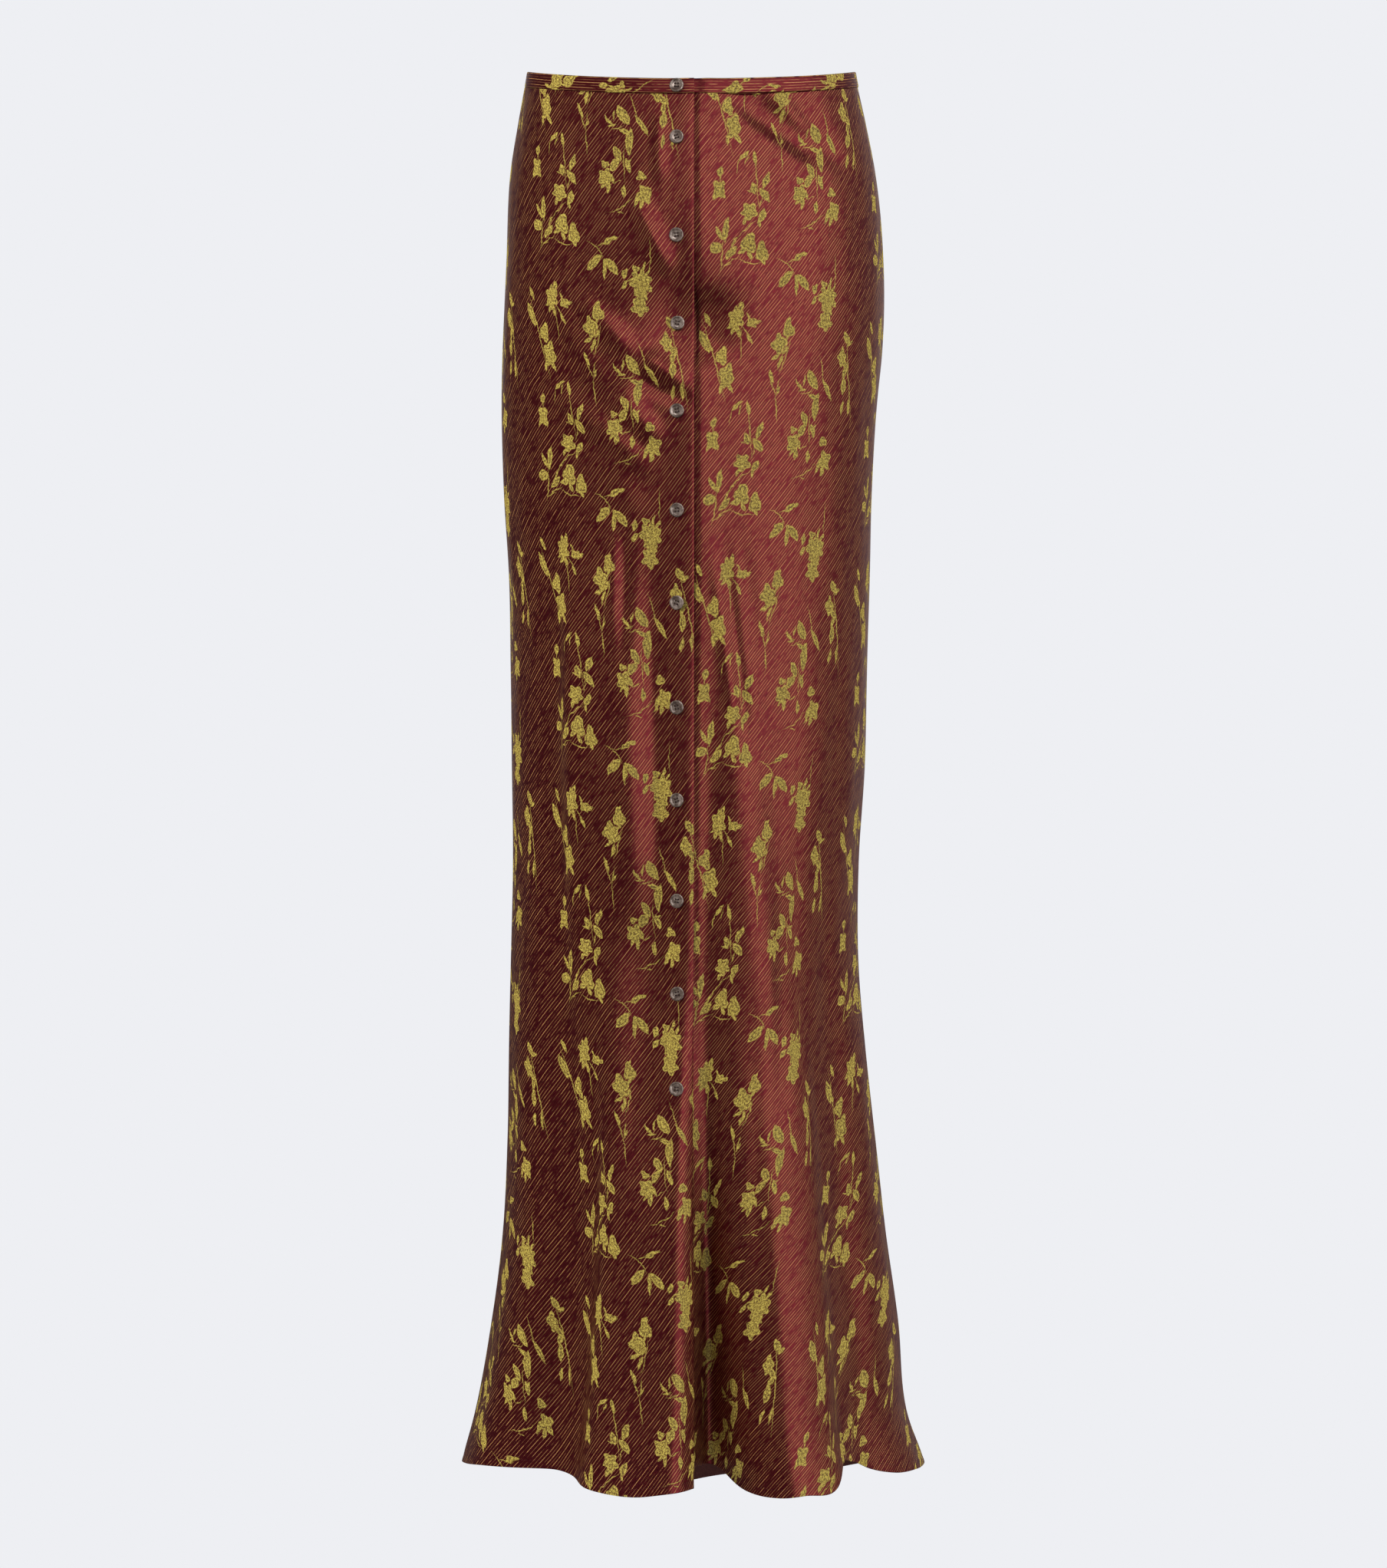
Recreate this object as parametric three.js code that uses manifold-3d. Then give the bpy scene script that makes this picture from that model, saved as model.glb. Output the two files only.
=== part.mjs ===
// Maxi skirt with a button front, worn and hollow: millimetres, z up, the front faces -y.
// z = 0 is the top of the waistband at the sides, and an angle runs from the centre front (0) towards
// the viewer's right (+90), so the back is at 180 and the viewer's left at -90.
import * as THREE from "three";
import Module from "manifold-3d";

const kernel = await Module();
kernel.setup();

// Cloth and seams
const WALL = 1.0; // cloth thickness
const GAP = 0.3; // room between two pieces
const FRONT_DIP = 21; // the waist sits this much lower at the centre front than at the sides
const BACK_RISE = 4; // and this much higher at the centre back
const BAND_HEIGHT = 12;
const BAND_PROUD = 0.5; // the band stands out this far over the panels below it
const BAND_WALL = 2.0; // doubled cloth with a stiffener
const LAP = 24; // width of the button lap
const EDGE_PAST_CENTRE = 1; // the upper front's edge lies this far past the centre front
const SIDE_GAP_ANGLE = 0.08; // half the gap at a side seam, in degrees

// Buttons
const BUTTON_DROPS = [27, 67, 142, 208, 275, 350, 420, 499, 569, 645, 715, 786];
const BUTTON_FROM_CENTRE = 12;
const BUTTON_RADIUS = 5.5;
const HOLE_RADIUS = 0.65;
const HOLE_FROM_AXIS = 1.15;
const BUTTON_PROFILE = [[0, 0], [4.6, 0], [5.5, 0.8], [5.4, 1.7], [4.7, 2.3], [3.6, 1.6], [0, 1.5]];

// Sections: half widths to the viewer's left and right, half depths to the front and back, at each drop
const SECTIONS = [
  { drop: -10, left: 127.5, right: 125.5, front: 91, back: 94 },
  { drop: 0, left: 129, right: 127, front: 92, back: 95 },
  { drop: 40, left: 136, right: 135.5, front: 98, back: 103 },
  { drop: 76, left: 142, right: 142.5, front: 103, back: 112 },
  { drop: 148, left: 146, right: 149, front: 110, back: 123 },
  { drop: 220, left: 149, right: 147.5, front: 112, back: 128 },
  { drop: 256, left: 149.5, right: 144, front: 112, back: 127 },
  { drop: 328, left: 147.5, right: 140, front: 112, back: 122 },
  { drop: 400, left: 143, right: 138.5, front: 112, back: 116 },
  { drop: 472, left: 142, right: 136.5, front: 112, back: 113 },
  { drop: 544, left: 141.6, right: 134.5, front: 112, back: 112 },
  { drop: 616, left: 141, right: 129.5, front: 112, back: 112 },
  { drop: 688, left: 142, right: 128.8, front: 113, back: 113 },
  { drop: 760, left: 143.5, right: 134.5, front: 115, back: 116 },
  { drop: 832, left: 144.6, right: 142.5, front: 118, back: 120 },
  { drop: 904, left: 148, right: 150.5, front: 121, back: 125 },
  { drop: 976, left: 157, right: 160.5, front: 125, back: 131 },
  { drop: 1048, left: 170.4, right: 167.5, front: 130, back: 138 },
  { drop: 1090, left: 181.5, right: 182, front: 134, back: 142 },
  { drop: 1140, left: 190, right: 190, front: 138, back: 148 },
];

// Long folds: angle, width and reach (outwards is positive) at each of FOLD_DROPS; flat 6 gives a broad top
const FOLD_DROPS = [300, 560, 690, 820, 1088];
const FOLDS = [
  { name: "placket", flat: 2, angle: [1.5, 1.5, 1.5, 1, 1], width: [6, 6, 6, 6, 6], reach: [2, 2, 2, 1, 0] },
  {
    name: "left drape", flat: 6, angle: [-30, -29, -29, -28, -28],
    width: [14, 14, 14, 14, 14], reach: [0, 9, 3, 0, 0],
  },
  {
    name: "left lobe", flat: 6, angle: [-18, -18, -17, -14.5, -14],
    width: [14, 14, 14, 14, 14], reach: [0, 0, 1, 11, 23],
  },
  { name: "front edge", flat: 2, angle: [0, 0, 0, -1, -3], width: [5, 4, 4.5, 5, 5], reach: [0, 1, 4, 6, 8] },
  {
    name: "left valley", flat: 2, angle: [-54, -50, -46, -42, -39],
    width: [7, 7, 8, 8, 9], reach: [0, -2, -4, -7, -12],
  },
  {
    name: "left side", flat: 2, angle: [-66, -64, -63, -62, -62],
    width: [12, 12, 12, 12, 14], reach: [0, 0, 1, 2, 6],
  },
  {
    name: "left crease", flat: 2, angle: [-11, -12, -9.5, -7, -5],
    width: [5, 5, 5, 5, 5], reach: [0, -2.5, -2, -1, 0],
  },
  {
    name: "slit valley", flat: 2, angle: [8, 4.5, 2.5, 2.5, 4.5],
    width: [6, 5, 5, 5, 6], reach: [0, -3, -6, -8, -8],
  },
  {
    name: "slit pocket", flat: 2, angle: [8, 8, 7, 6, 6],
    width: [6, 6, 6, 6, 8], reach: [0, 0, 0, -4, -36], under: true,
  },
  {
    name: "right lobe", flat: 2, angle: [15, 17, 20, 23, 22],
    width: [8, 9, 13, 16, 16], reach: [0, 4, 7, 10, 20],
  },
  {
    name: "right step", flat: 6, angle: [30, 30, 30, 30, 28.5],
    width: [10, 10, 10, 10, 10], reach: [0, 0, 0, 3, 9],
  },
  {
    name: "right valley", flat: 2, angle: [55, 54, 52, 51, 50],
    width: [8, 7, 8, 8, 8], reach: [0, -1, -2, -3, -4],
  },
  {
    name: "right side", flat: 2, angle: [72, 72, 72, 72, 72],
    width: [9, 9, 9, 10, 10], reach: [0, 0, 1, 2, 2],
  },
  {
    name: "back ridge 1", flat: 2, angle: [120, 119, 118.5, 118, 117],
    width: [9, 10, 10.5, 11, 12], reach: [0, 1, 2.5, 4, 9],
  },
  {
    name: "back valley 1", flat: 2, angle: [136, 137, 137.5, 138, 139],
    width: [8, 8, 8, 8, 9], reach: [0, -3, -5.5, -9, -19],
  },
  {
    name: "back ridge 2", flat: 2, angle: [166, 164, 163, 162, 160],
    width: [10, 10, 10.5, 11, 12], reach: [0, 3, 6, 10, 19],
  },
  {
    name: "back valley 2", flat: 2, angle: [184, 184, 184.5, 185, 187],
    width: [7, 7, 7.5, 8, 8], reach: [0, -3, -6.5, -11, -23],
  },
  {
    name: "back ridge 3", flat: 2, angle: [204, 206, 207, 208, 210],
    width: [9, 10, 10, 10, 11], reach: [0, 4, 7, 10, 17],
  },
  {
    name: "back valley 3", flat: 2, angle: [236, 234, 233, 232, 231],
    width: [8, 8, 8, 8, 8], reach: [0, -1, -4, -8, -18],
  },
  {
    name: "back ridge 4", flat: 2, angle: [248, 248, 247.5, 247, 246],
    width: [8, 9, 9, 9, 10], reach: [0, 1, 2, 3, 7],
  },
];
const HOLLOW = { x: -6, drop: 205, radius: 40, reach: -9 }; // the cloth hangs in below the belly

// Drop of the hem below the waist sides, round the skirt
const HEM = [
  { angle: -180, drop: 1124 }, { angle: -150, drop: 1114 }, { angle: -120, drop: 1098 },
  { angle: -90, drop: 1086 }, { angle: -75, drop: 1082 }, { angle: -60, drop: 1078 },
  { angle: -45, drop: 1077 }, { angle: -34, drop: 1078 }, { angle: -24, drop: 1084 },
  { angle: -12, drop: 1088 }, { angle: -4, drop: 1084 }, { angle: 4, drop: 1083 },
  { angle: 9, drop: 1085 }, { angle: 16, drop: 1090 }, { angle: 24, drop: 1088 },
  { angle: 34, drop: 1084 }, { angle: 38, drop: 1070 }, { angle: 44, drop: 1071 },
  { angle: 50, drop: 1078 }, { angle: 60, drop: 1084 }, { angle: 72, drop: 1085 },
  { angle: 90, drop: 1086 }, { angle: 120, drop: 1096 }, { angle: 150, drop: 1114 },
  { angle: 180, drop: 1124 },
];

// Mesh density
const FRONT_ROWS = 28;
const LAP_COLUMNS = 8; // across the button lap, at the same places on both fronts
const SIDE_COLUMNS = 21; // from the lap to the side seam
const SIDE_SPREAD = 1.25; // above 1, those columns lie closer near the lap
const BACK_ROWS = 22;
const BACK_COLUMNS = 36;
const BAND_COLUMNS = 72;
const BUTTON_SIDES = 16;
const HOLE_SIDES = 5;

const radians = (degrees) => (degrees * Math.PI) / 180;
const wrapped = (degrees) => ((((degrees + 180) % 360) + 360) % 360) - 180;
const clamp = (value, low, high) => Math.min(high, Math.max(low, value));
const smooth = (value, low, high) => {
  const t = clamp((value - low) / (high - low), 0, 1);
  return t * t * (3 - 2 * t);
};

// A smooth curve through rows of numbers; a flat start gives it no slope at the first row.
function curve(xs, ys, x, flatStart = false) {
  const last = xs.length - 1;
  const at = clamp(x, xs[0], xs[last]);
  let i = 0;
  while (i < last - 1 && at >= xs[i + 1]) i += 1;
  const slope = (k) => {
    if (k === 0) return flatStart ? 0 : (ys[1] - ys[0]) / (xs[1] - xs[0]);
    if (k === last) return (ys[k] - ys[k - 1]) / (xs[k] - xs[k - 1]);
    const before = xs[k] - xs[k - 1];
    const after = xs[k + 1] - xs[k];
    const rise = (ys[k] - ys[k - 1]) / before;
    const nextRise = (ys[k + 1] - ys[k]) / after;
    return (rise * after + nextRise * before) / (before + after);
  };
  const h = xs[i + 1] - xs[i];
  const t = (at - xs[i]) / h;
  return (
    (2 * t ** 3 - 3 * t ** 2 + 1) * ys[i] + (t ** 3 - 2 * t ** 2 + t) * h * slope(i) +
    (-2 * t ** 3 + 3 * t ** 2) * ys[i + 1] + (t ** 3 - t ** 2) * h * slope(i + 1)
  );
}

const SECTION_DROPS = SECTIONS.map((row) => row.drop);
const section = (name, drop) => curve(SECTION_DROPS, SECTIONS.map((row) => row[name]), drop);
const topDrop = (angle) => {
  const c = Math.cos(radians(angle));
  return c > 0 ? FRONT_DIP * c ** 1.2 : -BACK_RISE * (-c) ** 1.2;
};
const hemDrop = (angle) =>
  curve(HEM.map((row) => row.angle), HEM.map((row) => row.drop), wrapped(angle));

// How far the folds carry the cloth out at one place.
function foldReach(angle, drop, under) {
  let out = 0;
  for (const fold of FOLDS) {
    if (fold.under && !under) continue;
    const off = wrapped(angle - curve(FOLD_DROPS, fold.angle, drop)) / curve(FOLD_DROPS, fold.width, drop);
    out += curve(FOLD_DROPS, fold.reach, drop, true) * Math.exp(-(Math.abs(off) ** fold.flat));
  }
  if (Math.cos(radians(angle)) > 0) {
    const across = (150 * Math.sin(radians(angle)) - HOLLOW.x) / HOLLOW.radius;
    const down = (drop - HOLLOW.drop) / HOLLOW.radius;
    out += HOLLOW.reach * Math.exp(-(across ** 2) - down ** 2);
  }
  return out;
}

// A point of the cloth's outer surface, moved out by a distance in the level plane.
function levelPoint(angle, drop, out, under) {
  const s = Math.sin(radians(angle));
  const c = Math.cos(radians(angle));
  const left = section("left", drop);
  const back = section("back", drop);
  const a = left + (section("right", drop) - left) * (0.5 + 0.5 * s);
  const b = back + (section("front", drop) - back) * (0.5 + 0.5 * c);
  const normal = new THREE.Vector3(s / a, -c / b, 0).normalize();
  const reach = foldReach(angle, drop, under) + out;
  return new THREE.Vector3(a * s + normal.x * reach, -b * c + normal.y * reach, -drop);
}

// The direction square to the cloth, facing out.
function outward(angle, drop, under) {
  const along = levelPoint(angle + 0.2, drop, 0, under).sub(levelPoint(angle - 0.2, drop, 0, under));
  const down = levelPoint(angle, drop + 1, 0, under).sub(levelPoint(angle, drop - 1, 0, under));
  return down.cross(along).normalize();
}

// A point moved square to the cloth: out is positive.
function clothPoint(angle, drop, out, under = false) {
  return levelPoint(angle, drop, 0, under).addScaledVector(outward(angle, drop, under), out);
}

const angleOf = (distance, drop) => (distance / section("left", drop)) * (180 / Math.PI);

// Closes an outer and an inner grid of points into one solid; point(layer, row, column) gives each.
function shell(rows, columns, point) {
  const positions = [];
  const index = (layer, row, column) => (layer * (rows + 1) + row) * (columns + 1) + column;
  for (const layer of [0, 1])
    for (let row = 0; row <= rows; row += 1)
      for (let column = 0; column <= columns; column += 1)
        positions.push(...point(layer, row, column).toArray());
  const triangles = [];
  const quad = (a, b, c, d) => triangles.push(a, b, c, a, c, d);
  for (let r = 0; r < rows; r += 1)
    for (let c = 0; c < columns; c += 1) {
      quad(index(0, r, c), index(0, r + 1, c), index(0, r + 1, c + 1), index(0, r, c + 1));
      quad(index(1, r, c), index(1, r, c + 1), index(1, r + 1, c + 1), index(1, r + 1, c));
    }
  for (let r = 0; r < rows; r += 1) {
    quad(index(0, r, 0), index(1, r, 0), index(1, r + 1, 0), index(0, r + 1, 0));
    quad(index(0, r, columns), index(0, r + 1, columns), index(1, r + 1, columns), index(1, r, columns));
  }
  for (let c = 0; c < columns; c += 1) {
    quad(index(0, 0, c), index(0, 0, c + 1), index(1, 0, c + 1), index(1, 0, c));
    quad(index(0, rows, c), index(1, rows, c), index(1, rows, c + 1), index(0, rows, c + 1));
  }
  const geometry = new THREE.BufferGeometry();
  geometry.setAttribute("position", new THREE.Float32BufferAttribute(positions, 3));
  geometry.setIndex(triangles);
  return geometry;
}

// One skirt panel from just below the waistband to the hem; angleAt gives each column's angle.
function panel(rows, columns, angleAt, depthAt = () => 0, under = false) {
  return shell(rows, columns, (layer, row, column) => {
    const down = row / rows;
    const angle = angleAt(column, 30 + 1050 * down);
    const top = topDrop(angle) + BAND_HEIGHT + GAP;
    const drop = top + (hemDrop(angle) - top) * down;
    return clothPoint(angle, drop, -depthAt(angle) - layer * WALL, under);
  });
}

// A column across the lap, counted from its hidden edge.
function lapAngle(column, drop) {
  return angleOf(-LAP + ((LAP + EDGE_PAST_CENTRE) * column) / LAP_COLUMNS, drop);
}

// A column between an edge of the lap and a side seam, counted from the lap.
function sideAngle(column, lapEdge, seam) {
  return lapEdge + (seam - lapEdge) * (column / SIDE_COLUMNS) ** SIDE_SPREAD;
}

function frontOver() {
  const seam = -90 + SIDE_GAP_ANGLE;
  return panel(FRONT_ROWS, SIDE_COLUMNS + LAP_COLUMNS, (column, drop) =>
    column < SIDE_COLUMNS
      ? sideAngle(SIDE_COLUMNS - column, lapAngle(0, drop), seam)
      : lapAngle(column - SIDE_COLUMNS, drop));
}

// The under front steps in beneath the upper one.
function frontUnder() {
  const stepIn = (angle) => (WALL + GAP) * (1 - smooth(angle, 0.8, 3.5));
  const seam = 90 - SIDE_GAP_ANGLE;
  const angleAt = (column, drop) =>
    column < LAP_COLUMNS
      ? lapAngle(column, drop)
      : sideAngle(column - LAP_COLUMNS, lapAngle(LAP_COLUMNS, drop), seam);
  return panel(FRONT_ROWS, SIDE_COLUMNS + LAP_COLUMNS, angleAt, stepIn, true);
}

function back() {
  const width = 180 - 2 * SIDE_GAP_ANGLE;
  return panel(BACK_ROWS, BACK_COLUMNS, (column) => 90 + SIDE_GAP_ANGLE + (width * column) / BACK_COLUMNS);
}

// One strip all round: it starts on top at the centre front and ends beneath its own start.
function waistband() {
  const first = angleOf(EDGE_PAST_CENTRE, FRONT_DIP);
  const last = -360 - angleOf(LAP, FRONT_DIP);
  return shell(1, BAND_COLUMNS, (layer, row, column) => {
    const turn = last + ((first - last) * column) / BAND_COLUMNS;
    const stepIn = (BAND_WALL + GAP) * (1 - smooth(turn + 360, 0.8, 5.5));
    const drop = topDrop(turn) + row * BAND_HEIGHT;
    return clothPoint(turn, drop, BAND_PROUD - stepIn - layer * BAND_WALL);
  });
}

function buttonSolid() {
  let solid = kernel.Manifold.revolve([BUTTON_PROFILE], BUTTON_SIDES);
  for (const [x, y] of [[1, 1], [-1, 1], [-1, -1], [1, -1]]) {
    const hole = kernel.Manifold.cylinder(4, HOLE_RADIUS, HOLE_RADIUS, HOLE_SIDES);
    solid = solid.subtract(hole.translate([x * HOLE_FROM_AXIS, y * HOLE_FROM_AXIS, -1]));
  }
  const made = solid.getMesh();
  const geometry = new THREE.BufferGeometry();
  geometry.setAttribute("position", new THREE.BufferAttribute(made.vertProperties, made.numProp));
  geometry.setIndex(new THREE.BufferAttribute(made.triVerts, 1));
  return geometry;
}

// Lays a button on a piece, square to the cloth and clear of what lies beneath its rim.
function placeButton(button, piece, drop) {
  const angle = -angleOf(BUTTON_FROM_CENTRE, drop);
  const axis = outward(angle, drop, false);
  const start = clothPoint(angle, drop, 20);
  const across = new THREE.Vector3(0, 0, 1).cross(axis).normalize();
  const up = axis.clone().cross(across);
  const ray = new THREE.Raycaster();
  let nearest = Infinity;
  for (const radius of [0, BUTTON_RADIUS / 2, BUTTON_RADIUS])
    for (let k = 0; k < 12; k += 1) {
      const from = start.clone()
        .addScaledVector(across, radius * Math.cos((k * Math.PI) / 6))
        .addScaledVector(up, radius * Math.sin((k * Math.PI) / 6));
      ray.set(from, axis.clone().negate());
      const hits = ray.intersectObject(piece);
      if (hits.length) nearest = Math.min(nearest, hits[0].distance);
    }
  button.position.copy(start).addScaledVector(axis, GAP - nearest);
  button.quaternion.setFromUnitVectors(new THREE.Vector3(0, 0, 1), axis);
}

const CLOTH = new THREE.MeshStandardMaterial({ color: 0x6e3030, side: THREE.DoubleSide });
const SHELL_BUTTON = new THREE.MeshStandardMaterial({ color: 0x75665c });
const skirt = new THREE.Group();

function add(name, geometry, material) {
  const mesh = new THREE.Mesh(geometry, material);
  mesh.name = name;
  skirt.add(mesh);
  return mesh;
}

const over = add("front_over", frontOver(), CLOTH);
add("front_under", frontUnder(), CLOTH);
add("back", back(), CLOTH);
const band = add("waistband", waistband(), CLOTH);
BUTTON_DROPS.forEach((drop, i) => {
  const button = add("button_" + String(i + 1).padStart(2, "0"), buttonSolid(), SHELL_BUTTON);
  placeButton(button, i === 0 ? band : over, drop);
});

export default skirt;
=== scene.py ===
"""Maxi skirt with a button front, worn and hollow. Metres, z up, the front faces -y.

z = 0 is level with the waist sides. An angle runs round the skirt from the centre front (0) towards the
viewer's right (+90); a drop is the height below the waist sides. The tables below are in millimetres, the
same as in the solids.
"""
import math

import bpy
import numpy as np
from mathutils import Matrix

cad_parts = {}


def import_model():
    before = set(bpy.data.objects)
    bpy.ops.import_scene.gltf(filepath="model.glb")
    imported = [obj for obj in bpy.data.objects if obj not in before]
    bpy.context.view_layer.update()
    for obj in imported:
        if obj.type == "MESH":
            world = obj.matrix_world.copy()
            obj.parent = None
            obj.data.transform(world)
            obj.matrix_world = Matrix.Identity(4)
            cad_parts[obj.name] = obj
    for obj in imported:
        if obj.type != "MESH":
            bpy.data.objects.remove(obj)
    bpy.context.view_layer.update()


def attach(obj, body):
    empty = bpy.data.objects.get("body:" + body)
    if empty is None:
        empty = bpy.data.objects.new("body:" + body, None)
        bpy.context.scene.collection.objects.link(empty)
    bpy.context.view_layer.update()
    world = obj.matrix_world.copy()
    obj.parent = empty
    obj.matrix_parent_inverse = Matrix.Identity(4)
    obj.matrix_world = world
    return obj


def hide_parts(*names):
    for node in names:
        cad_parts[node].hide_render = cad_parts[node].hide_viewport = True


MM = 0.001
UV_UNIT = 100  # millimetres of cloth to one unit of its map

# Cloth and seams
GAP = 0.3
WALL = 0.8 * 0.999  # the cloth is a hair thinner than its 0.8 mm
FRONT_DIP = 21
BACK_RISE = 4
DIP_POWER = 1.2
BAND_HEIGHT = 12
BAND_PROUD = 0.5
BAND_WALL = 2.0
BAND_START = (49.3, 24.3)  # where its strip begins on the patterned cloth
BAND_STEP = (0.8, 5.5)  # the start steps out over the end between these angles
BAND_RING = [
    # across the strip: height down from the top, and how far in from the outer face
    (0.5, 0.1), (2, 0), (4, 0.05), (8, 0.05), (10.6, 0), (11.7, 0.2), (12, 0.8), (12, 1.3), (11.6, 1.9),
    (10.5, 2), (6, 2), (1.5, 2), (0.3, 1.8), (0, 1.3), (0, 0.7),
]
BAND_ARC_ROW = 5  # its length is measured along this row
LAP = 24
EDGE_PAST_CENTRE = 1
LAP_DEPTH = 1.4  # the under front lies this much deeper beneath the upper one
LAP_RISE = (0.75, 2.2)  # and comes level again between these angles
SEAM_ANGLE = 0.1
SEAM_LAP = 0.6  # the back runs on beneath the fronts by this angle
SEAM_DEPTH = 0.95  # and lies this much deeper there
SEAM_RISE = (0.05, 0.6)  # it is level again between these angles behind the seam
HEM_DEPTH = 6
HEM_TURN = (0.35, 0.8)  # depth and width of the line above the turned hem
HEM_STITCH = (3.2, 2.2)  # step and length
SEAM_STITCH = (1.9, 1.1)
SEAM_STITCH_BELOW = 0.9  # below the waistband's lower edge
EDGE_ROLL = 0.35  # the cloth's edges are rounded by this much
EDGE_ROLL_WIDTH = 0.7
STITCH_SPANS = [
    # from angle, to angle, on the under front
    (-89.5, 0.3, False), (0.9, 89.5, True), (90.5, 269.5, False),
]
STITCH_PROBES = 1500
STITCH_FIRST, STITCH_LAST = 1.0, 3.0  # a row keeps this far from the panel's side edges
STITCH_RADIUS = 0.14
STITCH_HEIGHTS = (-0.3, -0.1, -0.3)  # its two ends dip into the cloth

# Buttons
BUTTON_DROPS = [27, 67, 142, 208, 275, 350, 420, 499, 569, 645, 715, 786]
BUTTON_FROM_CENTRE = 12
BUTTON_RADIUS = 5.5
SEAT_RADII = (2.5, BUTTON_RADIUS)  # the cloth is felt out on these circles beneath a button
BUTTON_SPINS = (0.0, 0.35, 0.1, -0.2, 0.25, 0.05, -0.3, 0.15, 0.4, -0.1, 0.2, 0.0)
BUTTON_PROFILE = [
    # radius, height
    (0, 0), (3.6, 0), (4.6, 0.15), (5.2, 0.5), (5.48, 1.0), (5.45, 1.6), (5.2, 2.05), (4.8, 2.28),
    (4.4, 2.25), (4.05, 2.0), (3.75, 1.72), (3.3, 1.58), (2.4, 1.5), (0, 1.45),
]
BUTTON_SIDES = 48
HOLE_RADIUS = 0.62
HOLE_FROM_AXIS = 1.15
HOLE_SIDES = 14
DRILL_PROFILE = [(0, -1), (HOLE_RADIUS, -1), (HOLE_RADIUS, 1.25), (0.85, 1.6), (0.85, 3), (0, 3)]
THREAD_RADIUS = 0.16
THREAD_SHIFTS = (-0.14, 0.14)  # two threads side by side through each pair of holes
THREAD_ARCH = [
    # across, in shares of the holes' distance from the axis, and height
    (-1, 0.4), (-1, 1.5), (-0.6, 1.85), (0, 1.95), (0.6, 1.85), (1, 1.5), (1, 0.4),
]

# Half widths to the viewer's left and right and half depths to the front and back, at each drop
SECTIONS = np.array([
    # drop, left, right, front, back
    (-10, 127.5, 125.5, 91, 94),
    (0, 129, 127, 92, 95),
    (40, 136, 135.5, 98, 103),
    (76, 142, 142.5, 103, 112),
    (148, 146, 149, 110, 123),
    (220, 149, 147.5, 112, 128),
    (256, 149.5, 144, 112, 127),
    (328, 147.5, 140, 112, 122),
    (400, 143, 138.5, 112, 116),
    (472, 142, 136.5, 112, 113),
    (544, 141.6, 134.5, 112, 112),
    (616, 141, 129.5, 112, 112),
    (688, 142, 128.8, 113, 113),
    (760, 143.5, 134.5, 115, 116),
    (832, 144.6, 142.5, 118, 120),
    (904, 148, 150.5, 121, 125),
    (976, 157, 160.5, 125, 131),
    (1048, 170.4, 167.5, 130, 138),
    (1090, 181.5, 182, 134, 142),
    (1140, 190, 190, 138, 148),
])

# Long folds: angle, width and reach (outwards is positive) at each of FOLD_DROPS; flat 6 gives a broad top
FOLD_DROPS = (300, 560, 690, 820, 1088)
FOLDS = [
    # name, flat, angles, widths, reaches
    ("placket", 2, (1.5, 1.5, 1.5, 1, 1), (6, 6, 6, 6, 6), (2, 2, 2, 1, 0)),
    ("left drape", 6, (-30, -29, -29, -28, -28), (14, 14, 14, 14, 14), (0, 9, 3, 0, 0)),
    ("left lobe", 6, (-18, -18, -17, -14.5, -14), (14, 14, 14, 14, 14), (0, 0, 1, 11, 23)),
    ("front edge", 2, (0, 0, 0, -1, -3), (5, 4, 4.5, 5, 5), (0, 1, 4, 6, 8)),
    ("left valley", 2, (-54, -50, -46, -42, -39), (7, 7, 8, 8, 9), (0, -2, -4, -7, -12)),
    ("left side", 2, (-66, -64, -63, -62, -62), (12, 12, 12, 12, 14), (0, 0, 1, 2, 6)),
    ("left crease", 2, (-11, -12, -9.5, -7, -5), (5, 5, 5, 5, 5), (0, -2.5, -2, -1, 0)),
    ("slit valley", 2, (8, 4.5, 2.5, 2.5, 4.5), (6, 5, 5, 5, 6), (0, -3, -6, -8, -8)),
    ("right lobe", 2, (15, 17, 20, 23, 22), (8, 9, 13, 16, 16), (0, 4, 7, 10, 20)),
    ("right step", 6, (30, 30, 30, 30, 28.5), (10, 10, 10, 10, 10), (0, 0, 0, 3, 9)),
    ("right valley", 2, (55, 54, 52, 51, 50), (8, 7, 8, 8, 8), (0, -1, -2, -3, -4)),
    ("right side", 2, (72, 72, 72, 72, 72), (9, 9, 9, 10, 10), (0, 0, 1, 2, 2)),
    ("back ridge 1", 2, (120, 119, 118.5, 118, 117), (9, 10, 10.5, 11, 12), (0, 1, 2.5, 4, 9)),
    ("back valley 1", 2, (136, 137, 137.5, 138, 139), (8, 8, 8, 8, 9), (0, -3, -5.5, -9, -19)),
    ("back ridge 2", 2, (166, 164, 163, 162, 160), (10, 10, 10.5, 11, 12), (0, 3, 6, 10, 19)),
    ("back valley 2", 2, (184, 184, 184.5, 185, 187), (7, 7, 7.5, 8, 8), (0, -3, -6.5, -11, -23)),
    ("back ridge 3", 2, (204, 206, 207, 208, 210), (9, 10, 10, 10, 11), (0, 4, 7, 10, 17)),
    ("back valley 3", 2, (236, 234, 233, 232, 231), (8, 8, 8, 8, 8), (0, -1, -4, -8, -18)),
    ("back ridge 4", 2, (248, 248, 247.5, 247, 246), (8, 9, 9, 9, 10), (0, 1, 2, 3, 7)),
]
UNDER_FOLDS = [("slit pocket", 2, (8, 8, 7, 6, 6), (6, 6, 6, 6, 8), (0, 0, 0, -4, -36))]
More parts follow.
